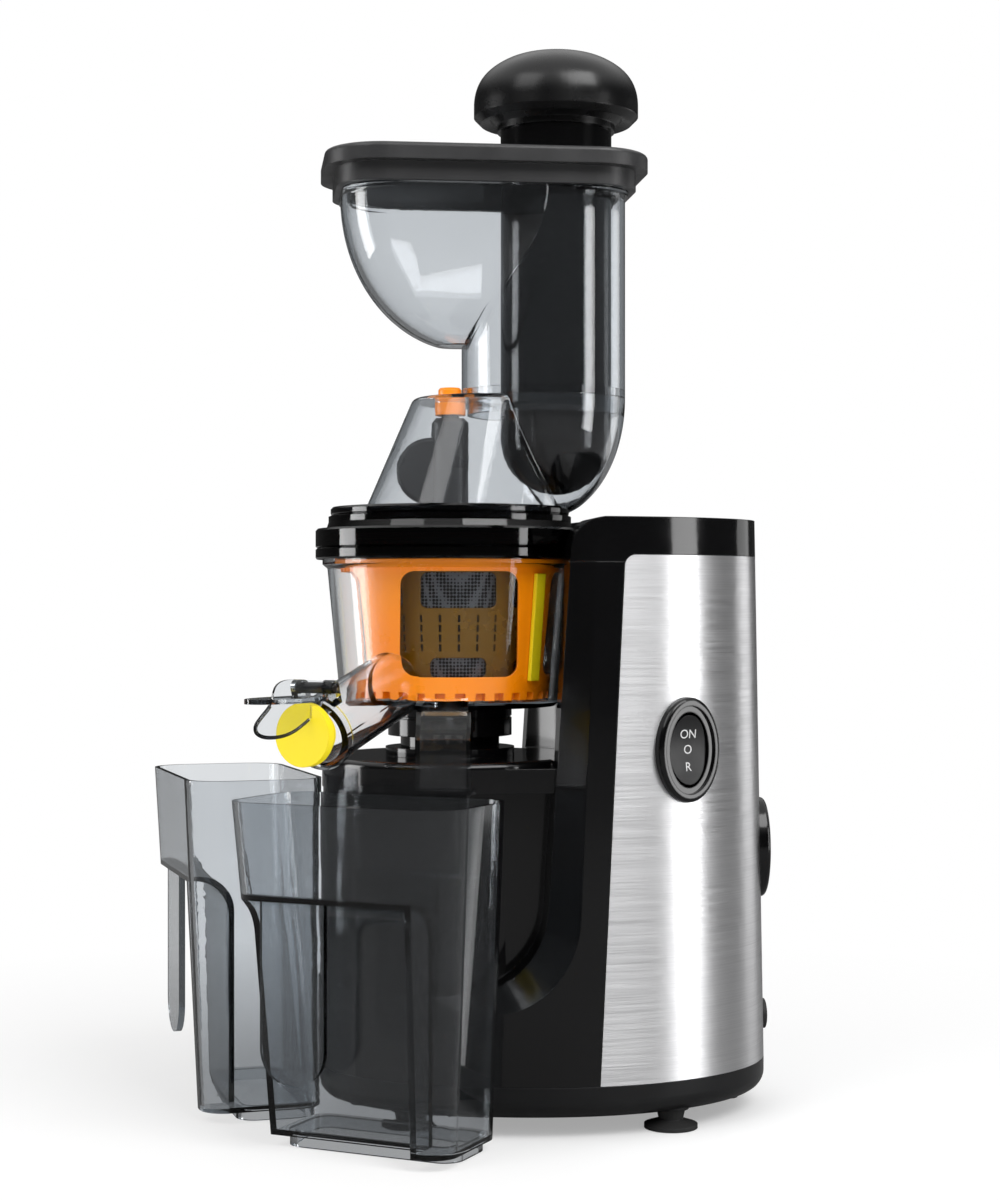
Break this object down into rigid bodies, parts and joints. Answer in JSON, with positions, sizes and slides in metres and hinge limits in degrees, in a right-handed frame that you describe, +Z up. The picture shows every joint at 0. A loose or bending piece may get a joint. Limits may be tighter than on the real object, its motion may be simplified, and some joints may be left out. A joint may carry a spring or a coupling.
{
  "type": "cold press juicer",
  "caption": "Upright cold press juicer with a gear-driven screw in a clear drum, a tall feed hopper with a pusher, a capped spout and two handled cups.",
  "frame": {"origin": "on the table, at the middle of the whole set's footprint, cups included", "axes": "+Z up; -Y is the front, where the drum and the pulp cup are; +X is the side of the speed switch, the spout and the juice cup"},
  "size_m": [0.2138, 0.2876, 0.492],
  "materials": {
    "black_gloss": "moulded gloss black",
    "black_satin": "fine satin black",
    "brushed_steel": "brushed grain that runs round the tower",
    "bright_steel": "turned and polished",
    "zinc_steel": "zinc plated",
    "motor_steel": "laminated core and end bells",
    "bronze": "sintered bronze",
    "rubber_black": "soft rubber",
    "smoke_clear": "smoke tinted clear plastic",
    "smoke_dark": "dark smoke plastic",
    "orange_plastic": "semi-gloss orange",
    "amber_plastic": "amber translucent plastic",
    "mesh_steel": "fine perforated sheet",
    "yellow_silicone": "soft yellow silicone",
    "red_silicone": "soft red silicone",
    "gear_white": "natural acetal",
    "auger_grey": "dark grey glass filled resin",
    "board_green": "coated circuit board"
  },
  "bodies": {
    "base": {"housing_shell": "black_gloss", "base_tray": "black_satin", "steel_wrap": "brushed_steel", "top_cover": "black_gloss", "suction_feet": "rubber_black", "tray_screws": "zinc_steel", "cord_gland": "rubber_black", "side_switch_bezel": "black_gloss", "side_switch_axle": "bright_steel", "rear_switch_bezel": "black_gloss", "rear_switch_axle": "bright_steel", "gear_plate": "zinc_steel", "motor": "motor_steel", "reduction_shaft": "bright_steel", "spindle_bearing": "bronze", "shaft_seal": "rubber_black", "control_board": "board_green"},
    "motor_rotor": {"motor_shaft": "bright_steel"},
    "reduction_wheel": {"reduction_gear": "gear_white"},
    "spindle": {"output_gear": "gear_white", "drive_spindle": "bright_steel"},
    "side_rocker_key": {"side_rocker": "black_satin"},
    "rear_rocker_key": {"rear_rocker": "black_satin"},
    "bowl": {"juice_bowl": "smoke_clear", "bowl_collar": "black_gloss", "spout_pin": "bright_steel", "strainer_frame": "amber_plastic", "strainer_mesh": "mesh_steel"},
    "spout_lid": {"spout_cap": "smoke_clear", "spout_seal": "yellow_silicone"},
    "idler": {"brush_idler": "gear_white"},
    "brush": {"brush_frame": "orange_plastic", "wiper_blades": "yellow_silicone"},
    "screw": {"auger": "auger_grey", "auger_insert": "bright_steel", "auger_gear": "gear_white"},
    "cover": {"lid": "smoke_clear", "lid_ring": "smoke_dark", "lid_gasket": "red_silicone", "auger_bush": "orange_plastic"},
    "funnel": {"hopper": "smoke_clear", "hopper_rim": "black_gloss"},
    "pusher": {"pusher_stem": "black_gloss", "pusher_knob": "black_gloss"},
    "juice_jug": {"juice_cup": "smoke_clear"},
    "pulp_jug": {"pulp_cup": "smoke_clear"}
  },
  "joints": [
    {"name": "spindle_spin", "type": "hinge", "parent": "base", "child": "spindle", "pos_m": [-0.02461, -0.00587, 0.1], "axis": [0, 0, 1], "continuous": true},
    {"name": "reduction_spin", "type": "hinge", "parent": "base", "child": "reduction_wheel", "pos_m": [-0.02461, 0.04533, 0.04], "axis": [0, 0, 1], "continuous": true},
    {"name": "motor_spin", "type": "hinge", "parent": "base", "child": "motor_rotor", "pos_m": [-0.02461, 0.09013, 0.08], "axis": [0, 0, 1], "continuous": true},
    {"name": "side_rocker_tilt", "type": "hinge", "parent": "base", "child": "side_rocker_key", "pos_m": [0.03268, 0.09249, 0.1693], "axis": [-0.4091, 0.9125, 0], "range_deg": [-10, 10]},
    {"name": "rear_rocker_tilt", "type": "hinge", "parent": "base", "child": "rear_rocker_key", "pos_m": [-0.02461, 0.13649, 0.119], "axis": [-1, 0, 0], "range_deg": [-10, 10]},
    {"name": "bowl_lift", "type": "slide", "parent": "base", "child": "bowl", "axis": [0, 0, 1], "range_m": [0, 0.08]},
    {"name": "lid_lift", "type": "slide", "parent": "bowl", "child": "cover", "axis": [0, 0, 1], "range_m": [0, 0.07]},
    {"name": "hopper_lift", "type": "slide", "parent": "cover", "child": "funnel", "axis": [0, 0, 1], "range_m": [0, 0.05]},
    {"name": "pusher_slide", "type": "slide", "parent": "funnel", "child": "pusher", "axis": [0, 0, 1], "range_m": [0, 0.18]},
    {"name": "auger_spin", "type": "hinge", "parent": "bowl", "child": "screw", "pos_m": [-0.02461, -0.00587, 0.25], "axis": [0, 0, 1], "continuous": true},
    {"name": "idler_spin", "type": "hinge", "parent": "bowl", "child": "idler", "pos_m": [-0.04196, -0.02656, 0.193], "axis": [0, 0, 1], "continuous": true},
    {"name": "brush_spin", "type": "hinge", "parent": "bowl", "child": "brush", "pos_m": [-0.02461, -0.00587, 0.22], "axis": [0, 0, 1], "continuous": true},
    {"name": "spout_cap_tilt", "type": "hinge", "parent": "bowl", "child": "spout_lid", "pos_m": [0.06325, -0.07243, 0.19875], "axis": [-0.6018, -0.7986, 0], "range_deg": [-18, 77]},
    {"name": "juice_cup_slide", "type": "slide", "parent": "base", "child": "juice_jug", "axis": [0.848, -0.5299, 0], "range_m": [0, 0.12]},
    {"name": "pulp_cup_slide", "type": "slide", "parent": "base", "child": "pulp_jug", "axis": [-0.3746, -0.9272, 0], "range_m": [0, 0.12]}
  ],
  "couplings": [
    {"joint": "reduction_spin", "follows": "spindle_spin", "ratio": -4.3333},
    {"joint": "motor_spin", "follows": "spindle_spin", "ratio": 15.889},
    {"joint": "auger_spin", "follows": "spindle_spin", "ratio": 1},
    {"joint": "idler_spin", "follows": "spindle_spin", "ratio": -1.5},
    {"joint": "brush_spin", "follows": "spindle_spin", "ratio": -0.42857}
  ]
}
